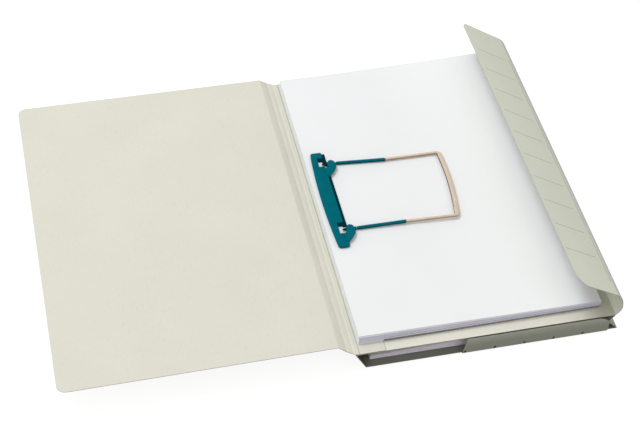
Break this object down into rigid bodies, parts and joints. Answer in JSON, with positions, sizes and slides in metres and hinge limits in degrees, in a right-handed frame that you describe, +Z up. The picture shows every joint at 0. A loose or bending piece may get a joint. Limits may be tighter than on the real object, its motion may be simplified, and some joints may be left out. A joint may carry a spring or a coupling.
{
  "type": "document folder",
  "caption": "Card document folder with a hinged cover, scored spine, bellows pocket, folding closing flap and a pronged clip with a pull-off loop holding paper sheets.",
  "frame": {"origin": "middle of the back panel's underside, on the table", "axes": "+X from the spine towards the closing flap, +Y from the near edge to the far edge, +Z up"},
  "size_m": [0.4685, 0.3154, 0.0748],
  "materials": {
    "card": "matte",
    "pocket_card": "matte",
    "sheets": "matte",
    "clip_plastic": "satin",
    "loop_plastic": "satin"
  },
  "bodies": {
    "pocket_base": {"back_panel": "pocket_card"},
    "pocket_flap": {"pocket_flap": "pocket_card"},
    "loose_sheets": {"loose_sheets_bottom": "sheets", "loose_sheets_top": "sheets"},
    "left_gusset": {"left_gusset": "pocket_card"},
    "right_gusset_lower": {"right_gusset_lower": "pocket_card"},
    "right_gusset_upper": {"right_gusset_upper": "pocket_card"},
    "divider_unit": {"divider": "card", "glue_flange": "card", "left_gusset_flange": "pocket_card", "right_gusset_flange": "pocket_card", "clip_base": "clip_plastic", "filed_sheets_bottom": "sheets", "filed_sheets_middle": "sheets", "filed_sheets_top": "sheets"},
    "spine_inner": {"spine_strip_inner": "card"},
    "spine_middle": {"spine_strip_middle": "card"},
    "spine_outer": {"spine_strip_outer": "card"},
    "front_cover": {"front_cover": "card"},
    "flap_wall_lower": {"flap_wall_lower": "card"},
    "flap_wall_upper": {"flap_wall_upper": "card"},
    "closing_flap": {"closing_flap": "card"},
    "clip_bar": {"clip_bar": "clip_plastic"},
    "prongs": {"prong_far": "clip_plastic", "prong_near": "clip_plastic"},
    "transfer_loop": {"transfer_loop": "loop_plastic"}
  },
  "joints": [
    {"name": "pocket_flap_fold", "type": "hinge", "parent": "pocket_base", "child": "pocket_flap", "pos_m": [0, -0.158, 0.00045], "axis": [-1, 0, 0], "range_deg": [-88, 0]},
    {"name": "loose_sheets_slide", "type": "slide", "parent": "pocket_base", "child": "loose_sheets", "axis": [0, -1, 0], "range_m": [-0.15, 0]},
    {"name": "pocket_press", "type": "slide", "parent": "pocket_base", "child": "divider_unit", "axis": [0, 0, -1], "range_m": [-0.001, 0.0045]},
    {"name": "left_gusset_fold", "type": "hinge", "parent": "pocket_base", "child": "left_gusset", "pos_m": [-0.11, 0, 0.00045], "axis": [0, -1, 0], "range_deg": [-5.1, 21.9]},
    {"name": "right_gusset_fold", "type": "hinge", "parent": "pocket_base", "child": "right_gusset_lower", "pos_m": [0.11, 0, 0.00045], "axis": [0, -1, 0], "range_deg": [-3.2, 13.35]},
    {"name": "right_gusset_knee", "type": "hinge", "parent": "right_gusset_lower", "child": "right_gusset_upper", "pos_m": [0.0994, 0, 0.0115], "axis": [0, -1, 0], "range_deg": [-32.02, 7.35]},
    {"name": "spine_fold_inner", "type": "hinge", "parent": "divider_unit", "child": "spine_inner", "pos_m": [-0.1202, 0, 0.0204], "axis": [0, 1, 0], "range_deg": [-1.2, 37]},
    {"name": "spine_fold_middle", "type": "hinge", "parent": "spine_inner", "child": "spine_middle", "pos_m": [-0.1229, 0, 0.02172], "axis": [0, 1, 0], "range_deg": [-0.4, 8.4]},
    {"name": "spine_fold_outer", "type": "hinge", "parent": "spine_middle", "child": "spine_outer", "pos_m": [-0.12849, 0, 0.02521], "axis": [0, 1, 0], "range_deg": [-0.4, 8.6]},
    {"name": "cover_fold", "type": "hinge", "parent": "spine_outer", "child": "front_cover", "pos_m": [-0.13508, 0, 0.03074], "axis": [0, 1, 0], "range_deg": [-3.5, 114]},
    {"name": "flap_fold", "type": "hinge", "parent": "divider_unit", "child": "flap_wall_lower", "pos_m": [0.1046, 0, 0.0198], "axis": [0, -1, 0], "range_deg": [-82, 17]},
    {"name": "flap_fold_bulge", "type": "hinge", "parent": "flap_wall_lower", "child": "flap_wall_upper", "pos_m": [0.10761, 0, 0.03347], "axis": [0, -1, 0], "range_deg": [-44.66, 9.5]},
    {"name": "flap_fold_tip", "type": "hinge", "parent": "flap_wall_upper", "child": "closing_flap", "pos_m": [0.0997, 0, 0.04739], "axis": [0, -1, 0], "range_deg": [-29.66, 6.39]},
    {"name": "clip_bar_slide", "type": "slide", "parent": "divider_unit", "child": "clip_bar", "axis": [0, 1, 0], "range_m": [-0.0065, 0]},
    {"name": "prong_lift", "type": "hinge", "parent": "divider_unit", "child": "prongs", "pos_m": [-0.08875, 0, 0.0313], "axis": [0, 1, 0], "range_deg": [-80, 0]},
    {"name": "loop_pull", "type": "slide", "parent": "prongs", "child": "transfer_loop", "axis": [-1, 0, 0], "range_m": [-0.05, 0]}
  ],
  "couplings": [
    {"joint": "left_gusset_fold", "follows": "pocket_press", "rad_per_m": 83.776},
    {"joint": "right_gusset_fold", "follows": "pocket_press", "rad_per_m": 50.614},
    {"joint": "right_gusset_knee", "follows": "pocket_press", "rad_per_m": -123.05},
    {"joint": "flap_fold_bulge", "follows": "flap_fold", "ratio": 0.541},
    {"joint": "flap_fold_tip", "follows": "flap_fold", "ratio": 0.358}
  ]
}
